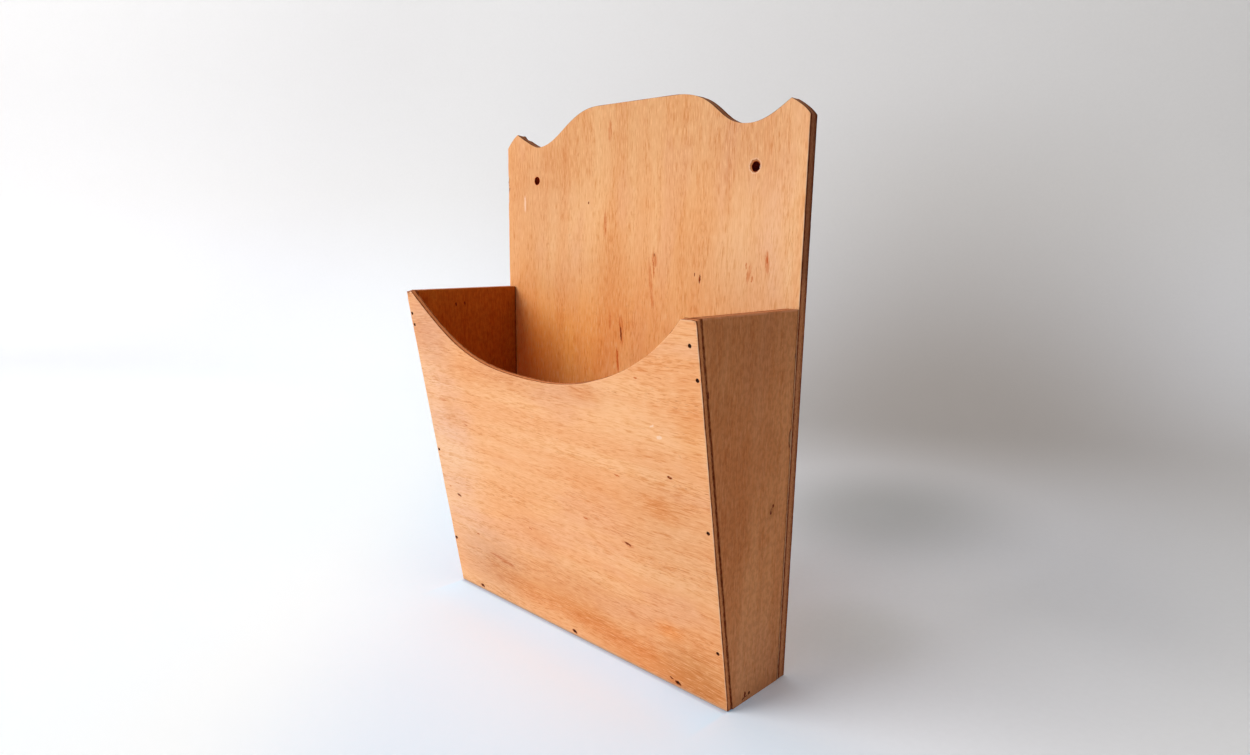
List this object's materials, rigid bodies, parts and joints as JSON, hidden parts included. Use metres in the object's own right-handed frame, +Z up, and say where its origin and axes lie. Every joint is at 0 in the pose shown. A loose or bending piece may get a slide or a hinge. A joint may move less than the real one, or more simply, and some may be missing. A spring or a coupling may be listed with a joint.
{
  "type": "wall mail holder",
  "caption": "Wall mail holder: a nailed plywood pocket with a leaning, scooped front panel on a tall back board with a shaped top and hanging holes.",
  "frame": {"origin": "middle of the holder's box, at the height of its foot", "axes": "+Z up, +Y towards the wall, the pocket faces -Y, +X to the right as seen from the front"},
  "size_m": [0.225, 0.0856, 0.305],
  "materials": {
    "plywood": "satin varnish",
    "front_plywood": "satin varnish",
    "pin_steel": "dull, darkened"
  },
  "bodies": {
    "root": {"back_board": "plywood", "left_side": "plywood", "right_side": "plywood", "bottom_board": "plywood", "front_panel": "front_plywood", "front_pin_left_1": "pin_steel", "front_pin_left_2": "pin_steel", "front_pin_left_3": "pin_steel", "front_pin_left_4": "pin_steel", "front_pin_right_1": "pin_steel", "front_pin_right_2": "pin_steel", "front_pin_right_3": "pin_steel", "front_pin_right_4": "pin_steel", "front_pin_foot_1": "pin_steel", "front_pin_foot_2": "pin_steel", "front_pin_foot_3": "pin_steel", "back_pin_left_1": "pin_steel", "back_pin_left_2": "pin_steel", "back_pin_left_3": "pin_steel", "back_pin_left_4": "pin_steel", "back_pin_right_1": "pin_steel", "back_pin_right_2": "pin_steel", "back_pin_right_3": "pin_steel", "back_pin_right_4": "pin_steel", "back_pin_foot_1": "pin_steel", "back_pin_foot_2": "pin_steel", "back_pin_foot_3": "pin_steel", "side_pin_left": "pin_steel", "side_pin_right": "pin_steel"}
  },
  "joints": []
}
